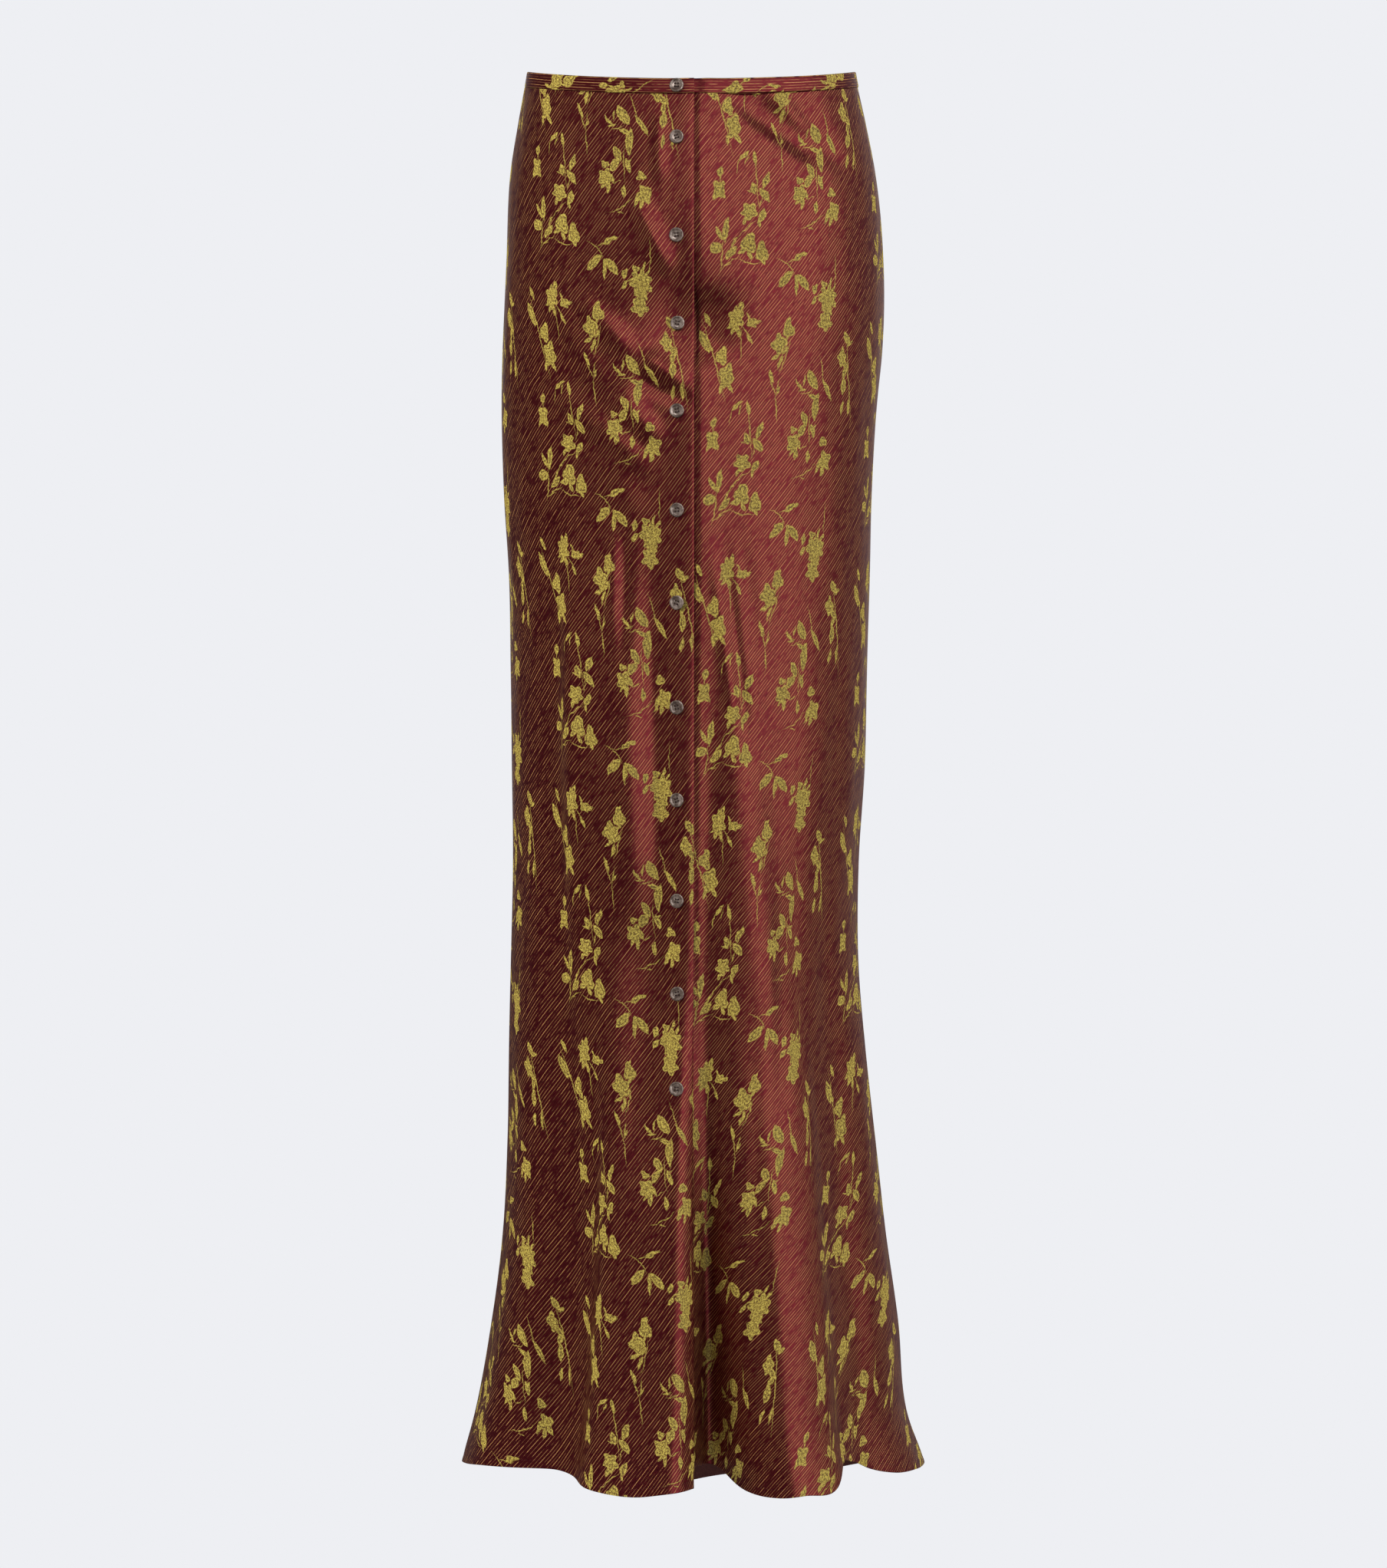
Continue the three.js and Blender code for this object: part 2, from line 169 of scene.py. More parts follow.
HOLLOW = {"x": -6, "drop": 205, "radius": 40, "reach": -9, "half_width": 150}
CREASE_HALF_WIDTH = 145  # a point's x is this times the sine of its angle
CREASE_START = (-0.15, 0.3)  # a crease rises and fades between these shares of its length
CREASE_END = (0.7, 1.15)
# A slow unevenness of the cloth: waves round it, turns down it in every UNEVEN_DROP, phase, height
UNEVEN_DROP = 220
UNEVENNESS = ((7, 3, 0.4, 0.3), (13, 4, 2.1, 0.16), (22, -6, 4.4, 0.1), (35, 9, 1.3, 0.06))

HEM = np.array([
    # angle, drop
    (-180, 1124), (-150, 1114), (-120, 1098), (-90, 1086), (-75, 1082), (-60, 1078), (-45, 1077),
    (-34, 1078), (-24, 1084), (-12, 1088), (-4, 1084), (4, 1083), (9, 1085), (16, 1090), (24, 1088),
    (34, 1084), (38, 1070), (44, 1071), (50, 1078), (60, 1084), (72, 1085), (90, 1086), (120, 1096),
    (150, 1114), (180, 1124),
], float)

UNDER_NOTCH = (3, 7, 11)  # the under front's hem is cut higher by the slit: angle, width, height

# Fine creases on the fronts: from (x, drop) to (x, drop), width and height; a height below 0 is a groove
CREASES = [
    # left panel, upper part
    ((-27, 50), (-25, 100), 5, 2.2),
    ((-44, 114), (-18, 168), 7, 3.6),
    ((-38, 232), (-6, 256), 9, 4.6),
    ((-44, 248), (-2, 269), 6, -3.2),
    ((-56, 262), (-26, 296), 8, 3.6),
    ((-104, 186), (-64, 258), 8, 2.8),
    ((-90, 183), (-45, 231), 8, 3.4),
    ((-100, 260), (-34, 318), 9, 3.4),
    ((-72, 300), (-40, 360), 12, 1.6),
    # left panel, long narrow ones
    ((-60, 365), (-61, 450), 6, 2.4),
    ((-52, 372), (-53, 470), 5, -1.6),
    # right panel, under the waist
    ((34, 33), (106, 80), 17, -7.0),
    ((4, 30), (96, 90), 8, 2.2),
    ((62, 30), (100, 60), 6, 2.6),
    ((84, 30), (120, 90), 9, -2.2),
    ((24, 150), (66, 162), 9, -1.2),
    # right panel, beside the placket and at the side
    ((16, 385), (34, 520), 5, 1.8),
    ((26, 380), (46, 545), 5, -2.0),
    ((38, 370), (54, 480), 7, -1.6),
    ((70, 640), (64, 830), 8, -1.4),
    ((84, 400), (92, 620), 12, 0.9),
    # left panel, lower part
    ((-96, 420), (-100, 700), 12, 1.2),
    ((-70, 620), (-52, 900), 14, 0.9),
    # beside the centre edge, where the lobes begin
    ((-42, 640), (-38, 860), 24, -7.5),
    ((34, 520), (62, 760), 18, 3.2),
]
UNDER_CREASES = [((6, 184), (12, 238), 20, -4.5)]  # the hollow is deeper beside the upper front's edge

PANEL_NEAR = (30, 1050)  # about the first row's drop and the length of all rows
# The close steps at the ends of a grid, as shares of its length
SIDE_STEPS = (0.0015, 0.0015)
TOP_AND_HEM_STEPS = (0.0006, 0.0004)
BAND_END_STEPS = (0.0003, 0.0003)

# Each cloth's flat size and the area of its surface, in metres; the waistband's area is its flat size's
FLAT_SIZES = {
    "front_over": ((0.30, 1.08), 0.24),
    "front_under": ((0.36, 1.08), 0.28),
    "back": ((0.52, 1.12), 0.49),
    "waistband": ((0.735, 0.012), None),
}

# How the pattern lies on each panel. "zero" is the share of the width where u is 0; the pattern is moved
# by (along, -drop), leans sideways with the drop, and sags with the square of u less that of its rest.
OVER_PATTERN = {"zero": 1, "along": 71, "drop": 158, "lean": -0.0384, "sag": 0.0009, "rest": 71}
UNDER_PATTERN = {"zero": 0, "along": -103, "drop": 170, "lean": 0.030, "sag": 0, "rest": 0}
BACK_PATTERN = {"zero": 0.5, "along": 20, "drop": 60, "lean": 0, "sag": 0.0004, "rest": 0}


def clamp(value, low, high):
    return np.minimum(high, np.maximum(low, value))


def smooth(value, low, high):
    t = clamp((value - low) / (high - low), 0, 1)
    return t * t * (3 - 2 * t)


def wrapped(angle):
    return (np.asarray(angle, float) + 180) % 360 - 180


def curve(xs, ys, x, flat_start=False):
    """A smooth curve through rows of numbers; a flat start gives it no slope at the first row."""
    xs, ys = np.asarray(xs, float), np.asarray(ys, float)
    slopes = np.gradient(ys, xs)
    if flat_start:
        slopes[0] = 0
    at = clamp(x, xs[0], xs[-1])
    i = np.clip(np.searchsorted(xs, at, side="right") - 1, 0, len(xs) - 2)
    h = xs[i + 1] - xs[i]
    t = (at - xs[i]) / h
    return (
        (2 * t**3 - 3 * t**2 + 1) * ys[i] + (t**3 - 2 * t**2 + t) * h * slopes[i]
        + (-2 * t**3 + 3 * t**2) * ys[i + 1] + (t**3 - t**2) * h * slopes[i + 1]
    )


def section(column, drop):
    return curve(SECTIONS[:, 0], SECTIONS[:, column], drop)


def top_drop(angle):
    c = np.cos(np.radians(angle))
    return np.where(c > 0, FRONT_DIP, -BACK_RISE) * np.abs(c) ** DIP_POWER


def hem_drop(angle, under=False):
    full = curve(HEM[:, 0], HEM[:, 1], wrapped(angle))
    at, width, height = UNDER_NOTCH
    return full - under * height * np.exp(-(((angle - at) / width) ** 4))


def fold_reach(angle, drop, under):
    """How far the long folds carry the cloth out."""
    out = np.zeros(np.broadcast(angle, drop).shape)
    for _, flat, angles, widths, reaches in FOLDS + (UNDER_FOLDS if under else []):
        off = wrapped(angle - curve(FOLD_DROPS, angles, drop)) / curve(FOLD_DROPS, widths, drop)
        out += curve(FOLD_DROPS, reaches, drop, flat_start=True) * np.exp(-np.abs(off) ** flat)
    front = np.cos(np.radians(angle)) > 0
    across = (HOLLOW["half_width"] * np.sin(np.radians(angle)) - HOLLOW["x"]) / HOLLOW["radius"]
    down = (drop - HOLLOW["drop"]) / HOLLOW["radius"]
    return out + front * HOLLOW["reach"] * np.exp(-across**2 - down**2)


def crease_reach(angle, drop, under):
    """The fine creases and a slow unevenness, in millimetres."""
    x = CREASE_HALF_WIDTH * np.sin(np.radians(angle))
    front = np.cos(np.radians(angle)) > 0
    out = np.zeros(np.broadcast(angle, drop).shape)
    for (x0, d0), (x1, d1), width, height in CREASES + (UNDER_CREASES if under else []):
        length = math.hypot(x1 - x0, d1 - d0)
        ux, ud = (x1 - x0) / length, (d1 - d0) / length
        along = ((x - x0) * ux + (drop - d0) * ud) / length
        across = (x - x0) * ud - (drop - d0) * ux
        ends = smooth(along, *CREASE_START) * (1 - smooth(along, *CREASE_END))
        out += front * height * ends * np.exp(-((across / width) ** 2))
    for waves, turns, phase, height in UNEVENNESS:
        out += height * np.sin(waves * np.radians(angle) + turns * drop / UNEVEN_DROP + phase)
    return out


def level_points(angle, drop, out, under=False):
    s, c = np.sin(np.radians(angle)), np.cos(np.radians(angle))
    left, back = section(1, drop), section(4, drop)
    a = left + (section(2, drop) - left) * (0.5 + 0.5 * s)
    b = back + (section(3, drop) - back) * (0.5 + 0.5 * c)
    nx, ny = s / a, -c / b
    size = np.hypot(nx, ny)
    reach = fold_reach(angle, drop, under) + out
    return np.stack([a * s + nx / size * reach, -b * c + ny / size * reach, -drop + 0 * reach], -1)


def unit(v):
    return v / np.linalg.norm(v, axis=-1, keepdims=True)


def outward(angle, drop, under=False):
    """The direction square to the cloth, from four points close by."""
    along = level_points(angle + 0.2, drop, 0, under) - level_points(angle - 0.2, drop, 0, under)
    down = level_points(angle, drop + 1, 0, under) - level_points(angle, drop - 1, 0, under)
    return unit(np.cross(down, along))


def cloth_points(angle, drop, out, under=False):
    """Points moved square to the cloth, out is positive; creases are in them."""
    base = level_points(angle, drop, 0, under)
    reach = out + crease_reach(angle, drop, under)
    return base + outward(angle, drop, under) * np.asarray(reach)[..., None]


def angle_of(distance, drop):
    return np.degrees(distance / section(1, drop))


def spaced(count, first, last):
    """Even steps from 0 to 1, with two closer ones at each end for a crisp edge."""
    inner = np.linspace(first * 4, 1 - last * 4, count)
    return np.concatenate([[0, first], inner, [1 - last, 1]])


def make_object(name, vertices, faces, uvs=None, inside=None):
    mesh = bpy.data.meshes.new(name)
    mesh.from_pydata((vertices * MM).tolist(), [], faces)
    mesh.polygons.foreach_set("use_smooth", [True] * len(mesh.polygons))
    if inside is not None:
        mesh.polygons.foreach_set("material_index", inside)
    if uvs is not None:
        layer = mesh.uv_layers.new(name="cloth")
        loops = np.empty(len(mesh.loops), int)
        mesh.loops.foreach_get("vertex_index", loops)
        layer.data.foreach_set("uv", (uvs[loops] / UV_UNIT).ravel())
    mesh.update()
    piece = bpy.data.objects.new(name, mesh)
    bpy.context.scene.collection.objects.link(piece)
    return piece


def shell_object(name, outer, inner, uvs):
    """Closes an outer and an inner grid of points into one thin piece."""
    rows, columns = outer.shape[:2]
    index = np.arange(rows * columns).reshape(rows, columns)
    under = index + rows * columns

    def quads(a, b, c, d):
        return np.stack([a.ravel(), b.ravel(), c.ravel(), d.ravel()], -1)

    faces = [
        quads(index[:-1, :-1], index[1:, :-1], index[1:, 1:], index[:-1, 1:]),
        quads(under[:-1, :-1], under[:-1, 1:], under[1:, 1:], under[1:, :-1]),
        quads(index[:-1, 0], under[:-1, 0], under[1:, 0], index[1:, 0]),
        quads(index[:-1, -1], index[1:, -1], under[1:, -1], under[:-1, -1]),
        quads(index[0, :-1], index[0, 1:], under[0, 1:], under[0, :-1]),
        quads(index[-1, :-1], under[-1, :-1], under[-1, 1:], index[-1, 1:]),
    ]
    # the second grid is the cloth's inside
    inside = np.concatenate([np.full(len(f), int(k == 1)) for k, f in enumerate(faces)])
    points = np.concatenate([outer.reshape(-1, 3), inner.reshape(-1, 3)])
    both = np.concatenate([uvs.reshape(-1, 2)] * 2)
    return make_object(name, points, np.concatenate(faces).tolist(), both, inside)


def arc_from(points, start):
    """Length along each row, from the column nearest to start."""
    steps = np.linalg.norm(np.diff(points, axis=1), axis=2)
    arc = np.concatenate([np.zeros((len(points), 1)), np.cumsum(steps, axis=1)], axis=1)
    return arc - arc[:, start][:, None]


def pattern_map(pattern, arc, width, drop):
    """Where each point of a panel lies on the patterned cloth, in millimetres."""
    u = arc - pattern["zero"] * width
    down = drop - pattern["drop"]
    along = u + pattern["along"] + pattern["lean"] * down
    return np.stack([along, -(down + pattern["sag"] * (u**2 - pattern["rest"]**2))], -1)


def panel(name, first, last, pattern, rows=300, columns=140, depth_at=None, under=False):
    """One skirt panel between the angles that first and last give for a drop."""
    across = spaced(columns, *SIDE_STEPS)[None, :]
    down = spaced(rows, *TOP_AND_HEM_STEPS)[:, None]
    near = PANEL_NEAR[0] + PANEL_NEAR[1] * down
    angle = first(near) + (last(near) - first(near)) * across
    top = top_drop(angle) + BAND_HEIGHT + GAP
    hem = hem_drop(angle, under)
    drop = top + (hem - top) * down
    depth = depth_at(angle) if depth_at else 0 * angle
    middle = cloth_points(angle, drop, -depth, under)
    arc = arc_from(middle, 0)
    width = arc[:, -1:]
    edge = np.minimum(arc, width - arc)
    roll = EDGE_ROLL * (1 - smooth(edge, 0, EDGE_ROLL_WIDTH))
    hem_turn = HEM_TURN[0] * np.exp(-(((hem - drop - HEM_DEPTH) / HEM_TURN[1]) ** 2))
    normal = outward(angle, drop, under)
    outer = middle - normal * (roll + hem_turn)[..., None]
    inner = middle - normal * WALL
    return shell_object(name + "_cloth", outer, inner, pattern_map(pattern, arc, width, drop))


def front_over():
    return panel("front_over", lambda d: -90 + SEAM_ANGLE + 0 * d, lambda d: angle_of(EDGE_PAST_CENTRE, d),
                 OVER_PATTERN)


def front_under():
    return panel("front_under", lambda d: -angle_of(LAP, d), lambda d: 90 - SEAM_ANGLE + 0 * d, UNDER_PATTERN,
                 depth_at=lambda angle: LAP_DEPTH * (1 - smooth(angle, *LAP_RISE)), under=True)


def back_panel():
    def depth(angle):
        behind_seam = 90 - np.abs(angle - 180)
        return SEAM_DEPTH * (1 - smooth(behind_seam, *SEAM_RISE))

    return panel("back", lambda d: 90 - SEAM_LAP + 0 * d, lambda d: 270 + SEAM_LAP + 0 * d, BACK_PATTERN,
                 rows=260, columns=180, depth_at=depth)


def waistband(columns=560):
    """One strip all round, which starts on top at the centre front and ends beneath its own start."""
    first = float(angle_of(EDGE_PAST_CENTRE, FRONT_DIP))
    last = -360 - float(angle_of(LAP, FRONT_DIP))
    turn = (last + (first - last) * spaced(columns, *BAND_END_STEPS))[None, :]
    step_in = (BAND_WALL + GAP) * (1 - smooth(turn + 360, *BAND_STEP))
    down = np.array([r[0] for r in BAND_RING])[:, None]
    inset = np.array([r[1] for r in BAND_RING])[:, None]
    top, half, level = top_drop(turn), BAND_HEIGHT / 2, np.array([1, 1, 0])
    normal = outward(turn, top + half)
    base = level_points(turn, top + half, 0) + normal * (BAND_PROUD - step_in)[..., None]
    base = base * level + np.array([0, 0, -1]) * (top + down)[..., None]
    slope = (level_points(turn, top + BAND_HEIGHT, 0) - level_points(turn, top, 0)) / BAND_HEIGHT
    points = base - normal * inset[..., None] + slope * level * (down - half)[..., None]
    count, around = len(BAND_RING), points.shape[1]
    index = np.arange(count * around).reshape(count, around)
    after = np.roll(index, -1, axis=0)
    faces = np.stack([index[:, :-1], after[:, :-1], after[:, 1:], index[:, 1:]], -1).reshape(-1, 4).tolist()
    faces += [index[::-1, 0].tolist(), index[:, -1].tolist()]
    arc = arc_from(points, 0)[BAND_ARC_ROW] + 0 * down
    height = -down - inset + 0 * arc
    c, s = PIN_WAY  # the pin lines run along the strip
    uvs = np.stack([arc * c - height * s, arc * s + height * c], -1) + BAND_START
    return make_object("waistband_cloth", points.reshape(-1, 3), faces, uvs.reshape(-1, 2))


def revolve(profile, sides):
    """Points and faces of a closed turned solid; the profile runs from the axis out and back to it."""
    rings = profile[1:-1]
    turn = np.arange(sides) * 2 * math.pi / sides
    points = [[0, 0, profile[0][1]], [0, 0, profile[-1][1]]]
    for radius, height in rings:
        points += [[radius * math.cos(t), radius * math.sin(t), height] for t in turn]
    faces = []
    for k in range(sides):
        n = (k + 1) % sides
        faces.append([0, 2 + n, 2 + k])
        last = 2 + (len(rings) - 1) * sides
        faces.append([1, last + k, last + n])
        for r in range(len(rings) - 1):
            a, b = 2 + r * sides, 2 + (r + 1) * sides
            faces.append([a + k, a + n, b + n, b + k])
    return np.array(points, float), faces


def button_template():
    """One button at the origin, with its four holes cut through."""
    points, faces = revolve(BUTTON_PROFILE, BUTTON_SIDES)
    blank = make_object("button_blank", points, faces)
    drill_points, drill_faces = [], []
    for x, y in ((1, 1), (-1, 1), (-1, -1), (1, -1)):
        ring, sides = revolve(DRILL_PROFILE, HOLE_SIDES)
        start = sum(len(p) for p in drill_points)
        drill_points.append(ring + np.array([x * HOLE_FROM_AXIS, y * HOLE_FROM_AXIS, 0]))
        drill_faces += [[i + start for i in face] for face in sides]
    drill = make_object("button_drill", np.concatenate(drill_points), drill_faces)
    cut = blank.modifiers.new("holes", "BOOLEAN")
    cut.object = drill
    cut.operation = "DIFFERENCE"
    cut.solver = "EXACT"
    bpy.context.view_layer.update()
    made = bpy.data.meshes.new_from_object(blank.evaluated_get(bpy.context.evaluated_depsgraph_get()))
    for spare in (blank, drill):
        bpy.data.objects.remove(spare)
    return made


def seat_of(drop, on_band):
    """A button's centre under its base, and its axis."""
    angle = -angle_of(BUTTON_FROM_CENTRE, drop)
    axis = outward(angle, float(drop))
    if on_band:
        return level_points(angle, float(drop), BAND_PROUD), axis
    turn = np.arange(16) * math.pi / 8
    angles = angle + np.array([angle_of(r * math.cos(t), drop) for r in SEAT_RADII for t in turn])
    drops = drop + np.array([r * math.sin(t) for r in SEAT_RADII for t in turn])
    centre = cloth_points(angle, float(drop), 0)
    high = np.max((cloth_points(angles, drops, 0) - centre) @ axis)
    return centre + axis * max(high, 0), axis


def placed(points, centre, axis, spin):
    """Points of a small thing turned so that its own z runs along the axis."""
    side = unit(np.cross(np.array([0, 0, 1.0]), axis))
    up = np.cross(axis, side)
    x = side * math.cos(spin) + up * math.sin(spin)
    y = np.cross(axis, x)
    return centre + points @ np.stack([x, y, axis])


def tube(path, radius, sides=6):
    """Points and faces of a round thread along a short path."""
    path = np.asarray(path, float)
    tangent = unit(np.gradient(path, axis=0))
    side = unit(np.cross(tangent, np.array([0.31, 0.52, 0.79])))
    up = np.cross(tangent, side)
    turn = np.arange(sides) * 2 * math.pi / sides
    cosines, sines = np.cos(turn)[None, :, None], np.sin(turn)[None, :, None]
    rings = path[:, None] + radius * (side[:, None] * cosines + up[:, None] * sines)
    faces = []
    for i in range(len(path) - 1):
        for k in range(sides):
            n = (k + 1) % sides
            faces.append([i * sides + k, i * sides + n, (i + 1) * sides + n, (i + 1) * sides + k])
    faces += [list(range(sides))[::-1], [(len(path) - 1) * sides + k for k in range(sides)]]
    return rings.reshape(-1, 3), faces


def joined(parts):
    """Many small things as one set of points and faces."""
    points, faces, start = [], [], 0
    for p, f in parts:
        points.append(p)
        faces += [[i + start for i in face] for face in f]
        start += len(p)
    return np.concatenate(points), faces


def button_thread_parts(centre, axis, spin):
    """The threads that cross a button from hole to hole."""
    for y in (-HOLE_FROM_AXIS, HOLE_FROM_AXIS):
        for shift in THREAD_SHIFTS:
            path = [(across * HOLE_FROM_AXIS, y + shift, height) for across, height in THREAD_ARCH]
            points, faces = tube(path, THREAD_RADIUS)
            yield placed(points, centre, axis, spin), faces


def buttons():
    template = button_template()
    pieces, threads = [], []
    for i, (drop, spin) in enumerate(zip(BUTTON_DROPS, BUTTON_SPINS)):
        name = f"button_{i + 1:02d}"
        seat, axis = seat_of(drop, i == 0)
        centre = seat + axis * GAP
        mesh = template.copy()
        local = np.empty(len(mesh.vertices) * 3)
        mesh.vertices.foreach_get("co", local)
        moved = placed(local.reshape(-1, 3) / MM, centre, axis, spin)
        mesh.vertices.foreach_set("co", (moved * MM).ravel())
        mesh.polygons.foreach_set("use_smooth", [True] * len(mesh.polygons))
        mesh.update()
        mesh.name = name + "_shell"
        piece = bpy.data.objects.new(name + "_shell", mesh)
        bpy.context.scene.collection.objects.link(piece)
        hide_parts(name)
        pieces.append(piece)
        threads += button_thread_parts(centre, axis, spin)
    bpy.data.meshes.remove(template)
    points, faces = joined(threads)
    return pieces, make_object("button_threads", points, faces)


def stitches(name, drop_at, step, length):
    """A row of small stitches along each panel; drop_at gives the row's drop at an angle."""
    parts = []
    for first, last, under in STITCH_SPANS:
        probe = np.linspace(first, last, STITCH_PROBES)
        line = cloth_points(probe, drop_at(probe, under), 0.0, under)
        arc = np.concatenate([[0], np.cumsum(np.linalg.norm(np.diff(line, axis=0), axis=1))])
        starts = np.arange(STITCH_FIRST, arc[-1] - STITCH_LAST, step)[:, None]
        along = starts + np.array([0, 0.5, 1]) * length
        angles = np.interp(along, arc, probe)
        heights = np.array(STITCH_HEIGHTS) + 0 * angles
        runs = cloth_points(angles, drop_at(angles, under), heights, under)
        parts += [tube(run, STITCH_RADIUS, 5) for run in runs]
    points, faces = joined(parts)
    return make_object(name, points, faces)


# Materials


class Graph:
    """A short way to build a node tree: each call adds one node and gives its result."""

    def __init__(self, name):
        self.material = bpy.data.materials.new(name)
        self.material.use_nodes = True
        self.tree = self.material.node_tree
        self.tree.nodes.clear()
        self.output = self.add("ShaderNodeOutputMaterial")

    def add(self, kind, **settings):
        node = self.tree.nodes.new(kind)
        for key, value in settings.items():
            setattr(node, key, value)
        return node

    def put(self, socket, value):
        if isinstance(value, bpy.types.NodeSocket):
            self.tree.links.new(value, socket)
        else:
            socket.default_value = value

    def math(self, operation, *values):
        node = self.add("ShaderNodeMath", operation=operation)
        for socket, value in zip(node.inputs, values):
            self.put(socket, value)
        return node.outputs[0]

    def vector(self, operation, *values):
        node = self.add("ShaderNodeVectorMath", operation=operation)
        for socket, value in zip(node.inputs, values):
            self.put(socket, value)
        return node.outputs["Value" if operation in ("DOT_PRODUCT", "LENGTH", "DISTANCE") else "Vector"]

    def noise(self, vector, scale, detail=2.0, roughness=0.5):
        node = self.add("ShaderNodeTexNoise")
        self.put(node.inputs["Vector"], vector)
        node.inputs["Scale"].default_value = scale
        node.inputs["Detail"].default_value = detail
        node.inputs["Roughness"].default_value = roughness
        return node.outputs["Fac"]

    def streaks(self, along, across, along_scale, across_scale, detail=2.0, roughness=0.5):
        """Noise drawn out along the weave."""
        x = self.math("MULTIPLY", along, along_scale)
        y = self.math("MULTIPLY", across, across_scale)
        return self.noise(self.join(x, y), 1.0, detail, roughness)

    def ramp(self, value, *stops):
        """A colour or grey ramp: each stop is (position, colour)."""
        node = self.add("ShaderNodeValToRGB")
        self.put(node.inputs[0], value)
        band = node.color_ramp
        for k, (position, colour) in enumerate(stops):
            stop = band.elements[k] if k < 2 else band.elements.new(position)
            stop.position = position
            stop.color = colour if len(colour) == 4 else (*colour, 1)
        return node.outputs["Color"]

    def step(self, value, low, high):
        """0 below low, 1 above high, smooth between."""
        node = self.add("ShaderNodeMapRange", interpolation_type="SMOOTHSTEP")
        self.put(node.inputs["Value"], value)
        node.inputs["From Min"].default_value = low
        node.inputs["From Max"].default_value = high
        return node.outputs["Result"]

    def mix(self, factor, first, second):
        node = self.add("ShaderNodeMix", data_type="RGBA")
        self.put(node.inputs[0], factor)
        self.put(node.inputs[6], first)
        self.put(node.inputs[7], second)
        return node.outputs[2]

    def join(self, x, y, z=0.0):
        node = self.add("ShaderNodeCombineXYZ")
        for socket, value in zip(node.inputs, (x, y, z)):
            self.put(socket, value)
        return node.outputs[0]

    def split(self, vector):
        node = self.add("ShaderNodeSeparateXYZ")
        self.put(node.inputs[0], vector)
        return node.outputs

    def surface(self, normal=None, **values):
        node = self.add("ShaderNodeBsdfPrincipled")
        for key, value in values.items():
            self.put(node.inputs[key.replace("_", " ").title().replace("Ior", "IOR")], value)
        if normal is not None:
            self.put(node.inputs["Normal"], normal)
        self.tree.links.new(node.outputs[0], self.output.inputs[0])

    def bump(self, height, strength, distance):
        node = self.add("ShaderNodeBump")
        node.inputs["Strength"].default_value = strength
        node.inputs["Distance"].default_value = distance
        self.put(node.inputs["Height"], height)
        return node.outputs[0]


def srgb(r, g, b, a=1.0):
    """A colour given in the 0 to 255 numbers of a picture, as Blender's linear one."""
    def linear(v):
        v /= 255
        return v / 12.92 if v <= 0.04045 else ((v + 0.055) / 1.055) ** 2.4
    return (linear(r), linear(g), linear(b), a)


# The printed motifs. One repeat is REPEAT units wide and high; a unit is MOTIF_UNIT millimetres.
# Each group has a centre, then leaves (x, y, half length, half width, angle, bend) and
# blossoms (x, y, half width, half height, lobes), placed from that centre.
MOTIF_UNIT = 0.116
REPEAT = (1302, 1642)
PIN_ANGLE = math.radians(52)
PIN_WAY = (math.cos(PIN_ANGLE), math.sin(PIN_ANGLE))
PIN_STEP = 17
PIN_EDGE = (0.13, 0.05)  # a pin line fades between these shares of its lane
PIN_BREAKS = (0.34, 0.54)  # and is broken where its noise lies below these
PIN_PLACE = (0.18, 0.5)  # swing and middle of a line's place in its lane
PIN_STRENGTH = (0.3, 0.7)  # swing and middle of its strength
PLACE_SCATTER = 12.99  # large factors, so that neighbours differ
STRENGTH_SCATTER = 78.2
PIN_MIX = 0.78
LANE_WANDER = 0.4
LEAST_RISE = 0.5  # a leaf's side is curved by at least this
LOBE_TURN = 0.13  # each blossom's lobes are turned by this times its x
PETAL_WAVE = 0.2
PETAL_STEP = 26  # lines between petals lie this far apart
PETAL_LINE = (0.16, 0.05)
PETAL_PATCHES = (0.07, 3.0, 0.65)  # scale, detail, roughness
PETAL_PATCH_RINGS = 1.2
PETAL_TONE = {"patches": 1.5, "hatch": 1.8, "start": -1.12, "line": -0.3}
MOTIF_SWAY = 24.0  # how far the motifs wander, and how ragged their edges are, in motif units
MOTIF_RAG = 22.0
FLOWER_HATCH = 14.0
FLOWER_EDGE = (9.5, 5.5)
SATIN_METAL = 0.78
PIN_DULL = -0.8  # how much less a pin line shines
SATIN_ROUGH = (-0.24, 0.6)  # roughness by shine: slope, and where nothing shines
SATIN_LEVEL = (-0.1, 0.25)  # the same for the specular level, by flower
WEAVE_BUMP = (0.6, 0.0002)  # strength, and distance in metres

# Streaks of noise: scales along and across the weave, detail, roughness
RAG_STREAKS = (0.012, 0.07, 3.0, 0.6)
HATCH_STREAKS = (0.06, 0.24, 2.0, 0.6)
WANDER_STREAKS = (0.003, 0.02, 1.0)
BREAK_STREAKS = (0.01, 7.31, 2.0, 0.6)
GRAIN_STREAKS = (0.03, 0.3, 2.0, 0.7)
BACK_STREAKS = (30.0, 300.0, 2.0, 0.7)

